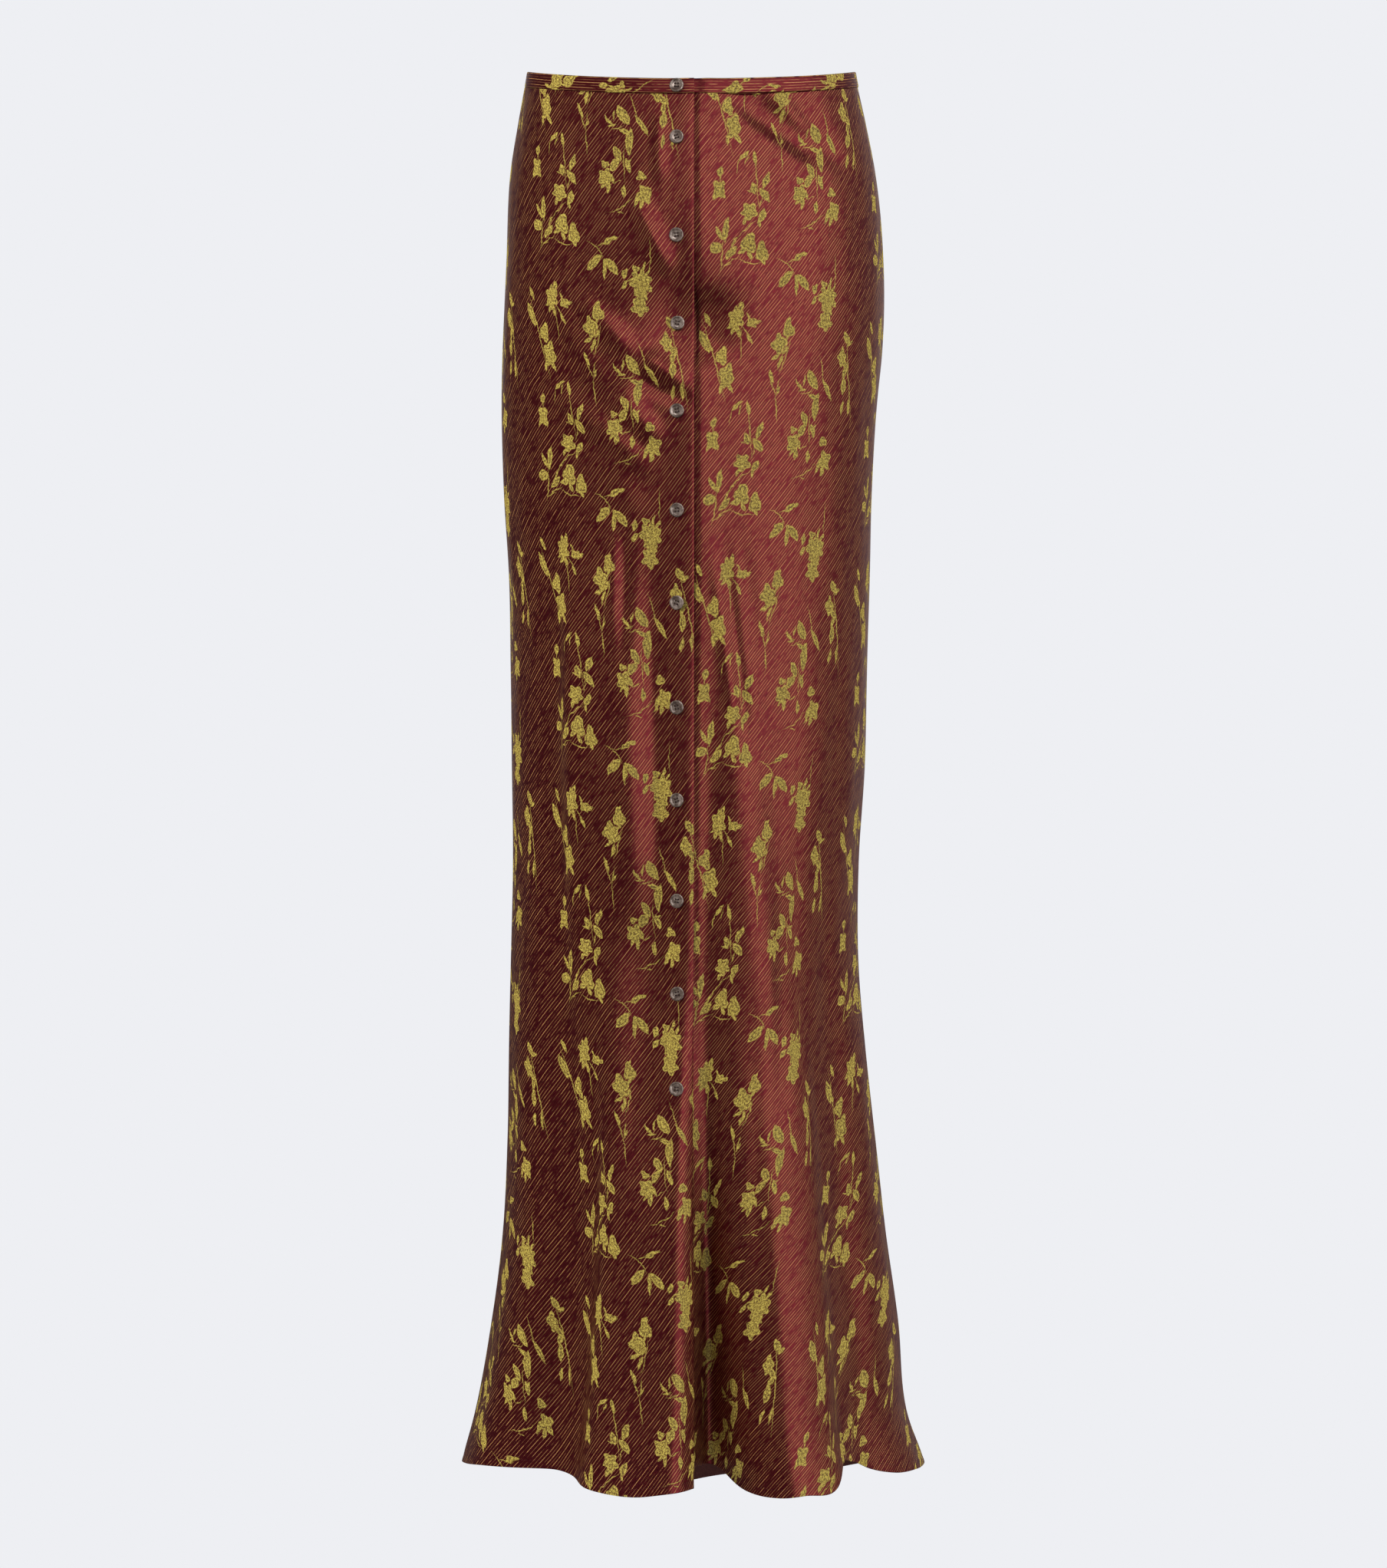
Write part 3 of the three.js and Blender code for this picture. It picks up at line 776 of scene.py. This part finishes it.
# Colours as a picture's numbers from 0 to 255
GROUND_DARK = (78, 25, 28)
GROUND_LIGHT = (118, 36, 42)
PIN_GOLD = (222, 164, 100)
PETAL_DARK = (98, 70, 40)
PETAL_MIDDLE = (168, 145, 66)
PETAL_LIGHT = (214, 193, 92)
BACK_DARK = (62, 27, 25)
BACK_LIGHT = (94, 46, 38)
BUTTON_DARK = (84, 66, 58)
BUTTON_MIDDLE = (126, 108, 97)
BUTTON_LIGHT = (188, 170, 158)
BUTTON_THREAD = (70, 50, 44)
CLOTH_THREAD = (96, 52, 44)
FLOOR_DARK = (232, 233, 237)
FLOOR_LIGHT = (240, 241, 245)
BACKDROP = (238, 239, 243)

GROUPS = {
    "leaf trio": ((0, 0), [
        (-62, -35, 72, 27, 48, 3), (12, -72, 70, 13, 88, -4), (63, -50, 68, 27, -50, 5),
        (-51, 56, 71, 3, -41, 17), (-24, 88, 28, 3, 22, 0), (32, 115, 46, 17, 38, 3),
        (68, 132, 33, 12, 20, 0),
    ], []),
    "rose": ((260, -160), [
        (45, 85, 36, 8, 60, 0), (62, 210, 90, 3, 88, 3), (20, 120, 32, 9, 75, 0),
        (-107, 72, 37, 17, 75, 0), (-110, -5, 34, 16, 62, 0), (-75, 30, 46, 3, 40, 4),
        (-50, 40, 30, 8, 20, 0),
    ], [
        (-2, 10, 66, 80, 7), (-32, 102, 24, 22, 3), (-15, -142, 50, 54, 5), (0, -70, 40, 30, 4),
    ]),
    "small sprig": ((250, 420), [
        (10, 0, 46, 15, 60, 0), (32, -58, 36, 13, 75, 0), (-2, -40, 40, 10, 55, 0),
        (-112, -68, 104, 3, 31, -16), (-125, -112, 20, 4, -8, 0), (75, -20, 30, 10, -60, 0),
    ], [
        (55, 15, 42, 58, 4), (30, 137, 30, 30, 3),
    ]),
    "big spray": ((-400, 200), [
        (-90, -100, 100, 3.5, 84, -5), (-65, 80, 86, 20, 84, 4), (-110, 55, 52, 14, 120, 4),
        (-125, -45, 42, 33, 30, 6), (-40, -140, 74, 3.5, 35, 8), (95, -130, 70, 3.5, -8, -14),
        (-50, -150, 28, 3, 10, 0), (-25, -70, 58, 23, 48, -3), (-10, -10, 45, 6, 60, 0),
        (60, 75, 106, 3.5, 45, 12), (60, 140, 32, 14, 70, 0), (172, 175, 50, 22, 65, 0),
        (155, 125, 28, 9, 100, 0), (55, -55, 40, 16, 30, 0), (100, -85, 32, 14, -60, 0),
        (185, -120, 28, 12, -60, 0),
    ], [
        (85, 202, 50, 52, 5), (92, -5, 48, 60, 3), (180, -60, 40, 62, 3),
    ]),
    "pink": ((-385, -290), [
        (25, 65, 34, 16, 80, 0), (-15, -80, 42, 14, 60, 0), (17, -100, 36, 12, 95, 0),
        (33, -185, 100, 3, 92, 3), (140, -35, 28, 14, 20, 0), (75, 10, 22, 7, 120, 0),
        (85, -140, 38, 12, -60, 2), (60, -90, 40, 3, -50, 0), (-35, -60, 34, 10, 30, 0),
    ], [
        (-3, -10, 46, 70, 6), (100, -35, 32, 30, 4),
    ]),
    "double blossom": ((-70, -420), [
        (-45, -125, 38, 12, 30, 0), (-15, -160, 50, 12, 72, 0), (65, 40, 32, 8, 70, 0),
        (42, 115, 24, 9, 80, 0), (20, -120, 108, 3, 74, -6), (15, -80, 34, 12, 60, 0),
        (35, 10, 40, 8, 60, 0),
    ], [
        (-30, -40, 48, 64, 4), (33, 60, 38, 56, 3),
    ]),
    "grass": ((-100, -800), [
        (-35, 125, 50, 12, -68, 0), (-22, 60, 64, 3.5, -72, 2), (10, 55, 56, 3, 80, 2),
        (15, 40, 28, 7, 60, 0), (3, -80, 82, 3, -86, 2),
    ], []),
    "hanging spray": ((170, -740), [
        (5, 55, 70, 35, -60, -6), (-60, 50, 36, 7, 75, 3), (-100, 10, 40, 10, -45, 4),
        (-115, 25, 30, 6, -70, 0), (-80, -15, 32, 6, 10, 0), (-40, -30, 46, 3, 20, -6),
        (38, -120, 96, 27, 84, 9), (10, -55, 44, 16, -20, 4), (78, 120, 82, 3, -75, 3),
        (125, -5, 80, 17, -60, 4),
    ], []),
    "rose cluster": ((60, -1070), [
        (58, 128, 52, 26, -65, 4), (38, 50, 50, 26, 60, 0), (20, -40, 36, 14, -70, 0),
        (-5, -105, 40, 14, 80, 0), (-40, -95, 28, 8, 60, 0), (105, 60, 106, 3, 92, 3),
        (132, 50, 48, 17, -75, 3), (140, 80, 24, 6, 50, 0), (100, -120, 44, 15, 88, 0),
        (60, -60, 30, 3, 30, 0),
    ], [
        (-22, -38, 48, 56, 5), (-28, 50, 24, 22, 3),
    ]),
    "bud stem": ((-260, -1030), [
        (-25, 145, 48, 14, -80, 0), (-10, 0, 160, 3, -84, 4), (-30, -55, 42, 21, -75, 0),
        (55, 0, 60, 20, 68, 3), (45, -95, 54, 25, -52, 3), (20, -140, 50, 3, 75, 0),
        (-50, -80, 24, 5, -10, 0),
    ], []),
    "tall spray": ((-520, -560), [
        (-60, 260, 46, 15, -65, 0), (-75, 120, 80, 28, -66, 3), (-5, -10, 260, 3, -72, 6),
        (110, -190, 46, 14, -60, 0), (50, -200, 44, 12, 85, 0), (-40, 80, 40, 14, -50, 0),
    ], [
        (45, 15, 36, 60, 3), (85, -115, 46, 74, 4),
    ]),
    "edge spray": ((480, -560), [
        (-40, 165, 48, 24, -60, 0), (-5, 135, 30, 12, 40, 0), (-35, -10, 48, 20, -50, 0),
        (5, -100, 290, 3.5, -80, 8), (20, -280, 62, 9, 88, 0), (-30, -60, 52, 16, 75, 0),
        (-36, -150, 60, 22, 84, 0), (-45, -290, 50, 13, 80, 0),
    ], [
        (-72, 40, 34, 56, 4),
    ]),
    "small blade": ((-370, -900), [
        (10, 30, 48, 13, 45, 3), (-30, -40, 50, 3, 80, 3), (30, 0, 30, 5, 70, 0),
    ], []),
    "lone blossom": ((-520, -1080), [
        (5, 100, 34, 20, 80, 0), (5, 60, 30, 3, 88, 0), (25, -50, 36, 12, -60, 0),
        (-25, -60, 36, 12, 70, 0),
    ], [
        (0, -20, 40, 60, 4),
    ]),
}


def leaf_circles(x, y, length, width, angle, bend):
    """The two circles through a leaf's tips that bound it.

    Each is a centre, a radius and whether the leaf lies in the circle.
    """
    along = np.array([math.cos(math.radians(angle)), math.sin(math.radians(angle))])
    side = np.array([-along[1], along[0]])
    circles = []
    for rise in (bend + width, bend - width):
        rise = math.copysign(max(abs(rise), LEAST_RISE), rise)
        radius = (length**2 + rise**2) / (2 * abs(rise))
        centre = np.array([x, y]) + side * (rise - math.copysign(radius, rise) - bend / 2)
        circles.append((centre, radius, (rise > 0) == (len(circles) == 0)))
    return circles


def leaf_field(g, point, row):
    """Distance outside a pointed, maybe curved, leaf."""
    sides = []
    for centre, radius, holds in leaf_circles(*row):
        far = g.vector("DISTANCE", point, (*centre, 0))
        sides.append(g.math("SUBTRACT", far, radius) if holds else g.math("SUBTRACT", radius, far))
    return g.math("MAXIMUM", *sides)


def blossom_field(g, point, row):
    """Distance outside a lobed round shape, nearly."""
    x, y, width, height, lobes = row
    local = g.vector("MULTIPLY_ADD", point, (1 / width, 1 / height, 0), (-x / width, -y / height, 0))
    across, up, _ = g.split(local)
    turn = g.math("MULTIPLY_ADD", g.math("ARCTAN2", up, across), float(lobes), x * LOBE_TURN)
    wave = g.math("COSINE", turn)
    far = g.math("MULTIPLY_ADD", wave, PETAL_WAVE, g.vector("LENGTH", local))
    size = min(width, height)
    return g.math("MULTIPLY_ADD", far, size, -size)


def motif_field(g, point):
    """Distance to the nearest leaf or blossom of the repeat, in motif units: below 0 is inside one."""
    half = (REPEAT[0] / 2, REPEAT[1] / 2, 1.0)
    low = (-half[0], -half[1], -1.0)
    lowest = None
    for (cx, cy), leaves, blossoms in GROUPS.values():
        local = g.vector("WRAP", g.vector("SUBTRACT", point, (cx, cy, 0)), half, low)
        for field, rows in ((leaf_field, leaves), (blossom_field, blossoms)):
            for row in rows:
                value = field(g, local, row)
                lowest = value if lowest is None else g.math("MINIMUM", lowest, value)
    return lowest


def weave_axes(g, point):
    """How far a point lies along the pin lines and across them."""
    c, s = PIN_WAY
    return g.vector("DOT_PRODUCT", point, (c, s, 0)), g.vector("DOT_PRODUCT", point, (-s, c, 0))


def pin_lines(g, along, across):
    """1 on a pin line: each line has its own place in its lane, its own strength and its own breaks."""
    wander = g.streaks(along, across, *WANDER_STREAKS)
    lane = g.math("MULTIPLY_ADD", wander, LANE_WANDER, g.math("MULTIPLY", across, 1 / PIN_STEP))
    number = g.math("FLOOR", lane)
    shift = g.math("MULTIPLY_ADD", g.math("SINE", g.math("MULTIPLY", number, PLACE_SCATTER)), *PIN_PLACE)
    offset = g.math("ABSOLUTE", g.math("SUBTRACT", g.math("SUBTRACT", lane, number), shift))
    breaks = g.streaks(along, number, *BREAK_STREAKS)
    swing = g.math("SINE", g.math("MULTIPLY", number, STRENGTH_SCATTER))
    strength = g.math("MULTIPLY_ADD", swing, *PIN_STRENGTH)
    whole = g.math("MULTIPLY", g.step(breaks, *PIN_BREAKS), strength)
    return g.math("MULTIPLY", g.step(offset, *PIN_EDGE), whole)


def petal_colour(g, point, field, hatch):
    """Mottled chartreuse, with darker lines between a blossom's petals."""
    patches = g.noise(point, *PETAL_PATCHES)
    rings = g.math("MULTIPLY_ADD", field, 1 / PETAL_STEP, g.math("MULTIPLY", patches, PETAL_PATCH_RINGS))
    line = g.step(g.math("PINGPONG", rings, 0.5), *PETAL_LINE)
    hatched = g.math("MULTIPLY_ADD", hatch, PETAL_TONE["hatch"], PETAL_TONE["start"])
    mottle = g.math("MULTIPLY_ADD", patches, PETAL_TONE["patches"], hatched)
    tone = g.math("MULTIPLY_ADD", line, PETAL_TONE["line"], mottle)
    return g.ramp(tone, (0.22, srgb(*PETAL_DARK)), (0.5, srgb(*PETAL_MIDDLE)), (0.8, srgb(*PETAL_LIGHT)))


def cloth_material():
    """Satin jacquard: red-brown shining ground, broken gold pin lines, and flowers in chartreuse."""
    g = Graph("satin_jacquard")
    uv = g.add("ShaderNodeUVMap", uv_map="cloth").outputs[0]
    point = g.vector("SCALE", uv)
    point.node.inputs["Scale"].default_value = UV_UNIT / MOTIF_UNIT
    along, across = weave_axes(g, point)

    # The motifs' edges are ragged along the weave, and the motifs sway a little
    ragged = g.streaks(along, across, *RAG_STREAKS)
    sway = g.math("MULTIPLY_ADD", g.noise(point, 0.02, 1.0), MOTIF_SWAY, -MOTIF_SWAY / 2)
    push = g.math("MULTIPLY_ADD", ragged, MOTIF_RAG, -MOTIF_RAG / 2)
    swayed = g.join(sway, g.math("MULTIPLY", sway, -1.0))
    moved = g.vector("MULTIPLY_ADD", g.join(push, push), (*PIN_WAY, 0), swayed)
    field = motif_field(g, g.vector("ADD", point, moved))
    hatch = g.streaks(along, across, *HATCH_STREAKS)
    flower = g.step(g.math("MULTIPLY_ADD", hatch, FLOWER_HATCH, field), *FLOWER_EDGE)

    pin = pin_lines(g, along, across)
    grain = g.streaks(along, across, *GRAIN_STREAKS)
    ground = g.ramp(grain, (0.32, srgb(*GROUND_DARK)), (0.68, srgb(*GROUND_LIGHT)))
    lined = g.mix(g.math("MULTIPLY", pin, PIN_MIX), ground, srgb(*PIN_GOLD))
    colour = g.mix(flower, lined, petal_colour(g, point, field, hatch))

    # The ground shines like metal thread, the flowers and pin lines are duller
    shine = g.math("MULTIPLY", g.math("SUBTRACT", 1.0, flower), g.math("MULTIPLY_ADD", pin, PIN_DULL, 1.0))
    metal = g.math("MULTIPLY", shine, SATIN_METAL)
    rough = g.math("MULTIPLY_ADD", shine, *SATIN_ROUGH)
    level = g.math("MULTIPLY_ADD", flower, *SATIN_LEVEL)
    g.surface(base_color=colour, metallic=metal, roughness=rough, specular_ior_level=level,
              normal=g.bump(grain, *WEAVE_BUMP))
    return g.material


def inside_material():
    """The cloth's dull back."""
    g = Graph("cloth_back")
    uv = g.add("ShaderNodeUVMap", uv_map="cloth").outputs[0]
    grain = g.streaks(*weave_axes(g, uv), *BACK_STREAKS)
    colour = g.ramp(grain, (0.3, srgb(*BACK_DARK)), (0.7, srgb(*BACK_LIGHT)))
    g.surface(base_color=colour, roughness=0.75, specular_ior_level=0.2, normal=g.bump(grain, 0.3, 0.0002))
    return g.material


def button_material():
    """Smoky, pearly shell."""
    g = Graph("smoky_shell")
    place = g.add("ShaderNodeTexCoord").outputs["Object"]
    cloud = g.noise(place, 260.0, 3.0, 0.6)
    colour = g.ramp(cloud, (0.3, srgb(*BUTTON_DARK)), (0.5, srgb(*BUTTON_MIDDLE)),
                    (0.72, srgb(*BUTTON_LIGHT)))
    g.surface(base_color=colour, metallic=0.4, roughness=0.2, specular_ior_level=1.0,
              normal=g.bump(cloud, 0.1, 0.0002))
    return g.material


def thread_material(name, colour):
    """Twisted thread, with painted shade in its grooves: darker where its bump is low."""
    g = Graph(name)
    place = g.add("ShaderNodeTexCoord").outputs["Object"]
    twist = g.noise(place, 4000.0, 1.0)
    # painted shade: the colour darkens where the twist noise, which also sets the bump, is low
    shade = g.ramp(twist, (0.3, tuple(v * 0.7 for v in colour[:3])), (0.7, colour))
    g.surface(base_color=shade, roughness=0.6, normal=g.bump(twist, 0.4, 0.0001))
    return g.material


# Camera, light and floor

CAMERA_DISTANCE = 3.2
CAMERA_HEIGHT = -0.5568
CAMERA_SIDE = 0.0006
VIEW_HEIGHT = 1.2264
SENSOR = 36
FLOOR_RADIUS = 0.9
FLOOR_THICKNESS = 0.01
FLOOR_HEIGHT = -1.35
WORLD_LIGHT = 0.10
LIGHTS = [
    # name, azimuth, elevation, distance, width, height, watts, seen in gloss, lights dull surfaces
    ("key", 42, 20, 3.0, 4.3, 4.2, 100, True, False),
    ("top", -8, 33, 3.3, 0.5, 0.8, 9, True, False),
    ("side", 125, 15, 3.0, 3.6, 4.2, 11, True, False),
    ("left fill", -58, 25, 3.4, 2.4, 2.4, 125, False, True),
    ("right fill", 72, 25, 3.4, 2.4, 2.4, 100, False, True),
    ("back", 180, 25, 3.0, 3.0, 3.0, 10, True, True),
    ("back fill", 180, 30, 3.4, 2.4, 2.4, 70, False, True),
]


def camera():
    """Straight at the front, as in the photo."""
    data = bpy.data.cameras.new("camera")
    data.sensor_fit = "VERTICAL"
    data.sensor_height = SENSOR
    data.lens = SENSOR * CAMERA_DISTANCE / VIEW_HEIGHT
    data.clip_end = 100
    eye = bpy.data.objects.new("camera", data)
    eye.location = (CAMERA_SIDE, -CAMERA_DISTANCE, CAMERA_HEIGHT)
    eye.rotation_euler = (math.radians(90), 0, 0)
    bpy.context.scene.collection.objects.link(eye)
    bpy.context.scene.camera = eye


def soft_light(name, azimuth, elevation, distance, width, height, power, gloss, diffuse):
    """A soft box aimed at the middle of the skirt; azimuth 0 is the camera's side, 90 the viewer's right."""
    data = bpy.data.lights.new(name, "AREA")
    data.shape = "RECTANGLE"
    data.size, data.size_y = width, height
    data.energy = power
    lamp = bpy.data.objects.new(name, data)
    a, e = math.radians(azimuth), math.radians(elevation)
    offset = np.array([math.sin(a) * math.cos(e), -math.cos(a) * math.cos(e), math.sin(e)]) * distance
    lamp.location = tuple(offset + np.array([0, 0, CAMERA_HEIGHT]))
    lamp.rotation_euler = (math.radians(90) - e, 0, a)
    lamp.visible_glossy = gloss
    lamp.visible_diffuse = diffuse
    bpy.context.scene.collection.objects.link(lamp)


def lights():
    for row in LIGHTS:
        soft_light(*row)


def world():
    """A pale backdrop for the camera, and a weaker even light for the skirt."""
    made = bpy.data.worlds.new("studio")
    made.use_nodes = True
    tree = made.node_tree
    tree.nodes.clear()
    out = tree.nodes.new("ShaderNodeOutputWorld")
    seen = tree.nodes.new("ShaderNodeBackground")
    seen.inputs[0].default_value = srgb(*BACKDROP)
    dim = tree.nodes.new("ShaderNodeBackground")
    dim.inputs[0].default_value = (1, 1, 1, 1)
    dim.inputs[1].default_value = WORLD_LIGHT
    path = tree.nodes.new("ShaderNodeLightPath")
    mix = tree.nodes.new("ShaderNodeMixShader")
    tree.links.new(path.outputs["Is Camera Ray"], mix.inputs[0])
    tree.links.new(dim.outputs[0], mix.inputs[1])
    tree.links.new(seen.outputs[0], mix.inputs[2])
    tree.links.new(mix.outputs[0], out.inputs[0])
    bpy.context.scene.world = made
    bpy.context.scene.view_settings.view_transform = "Standard"
    bpy.context.scene.view_settings.look = "None"


def floor():
    """A pale round stage below the skirt, which doesn't touch it."""
    low = -FLOOR_THICKNESS
    points, faces = revolve([(0, low), (FLOOR_RADIUS, low), (FLOOR_RADIUS, 0), (0, 0)], 96)
    piece = make_object("floor", points / MM + np.array([0, 0, FLOOR_HEIGHT / MM]), faces)
    g = Graph("pale_floor")
    place = g.add("ShaderNodeTexCoord").outputs["Object"]
    colour = g.ramp(g.noise(place, 3.0), (0.3, srgb(*FLOOR_DARK)), (0.7, srgb(*FLOOR_LIGHT)))
    g.surface(base_color=colour, roughness=0.8)
    piece.data.materials.append(g.material)
    piece.visible_glossy = False


def dress_cloths():
    """The four cloth pieces, by the names of the solids they stand for."""
    satin, inside = cloth_material(), inside_material()
    cloths = {"front_over": front_over(), "front_under": front_under(), "back": back_panel(),
              "waistband": waistband()}
    for node, piece in cloths.items():
        piece.data.materials.append(satin)
        piece.data.materials.append(inside)
        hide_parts(node)
        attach(piece, "root")
    return cloths


def dress_buttons():
    """The twelve buttons; gives back their threads."""
    shells, threads = buttons()
    shell = button_material()
    for piece in shells:
        piece.data.materials.clear()
        piece.data.materials.append(shell)
        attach(piece, "root")
    threads.data.materials.append(thread_material("button_thread", srgb(*BUTTON_THREAD)))
    return threads


def stitch_rows():
    """The stitches along the hem and those under the waistband."""
    def hem_line(angle, under):
        return hem_drop(angle, under) - HEM_DEPTH

    def seam_line(angle, under):
        return top_drop(angle) + BAND_HEIGHT + GAP + SEAM_STITCH_BELOW

    rows = [stitches("hem_stitches", hem_line, *HEM_STITCH),
            stitches("waist_stitches", seam_line, *SEAM_STITCH)]
    thread = thread_material("cloth_thread", srgb(*CLOTH_THREAD))
    for row in rows:
        row.data.materials.append(thread)
    return rows


def main():
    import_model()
    camera()
    lights()
    world()
    floor()

    cloths = dress_cloths()
    for piece in [dress_buttons(), *stitch_rows()]:
        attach(piece, "root")
    for node, piece in cloths.items():
        flat, area = FLAT_SIZES[node]


main()
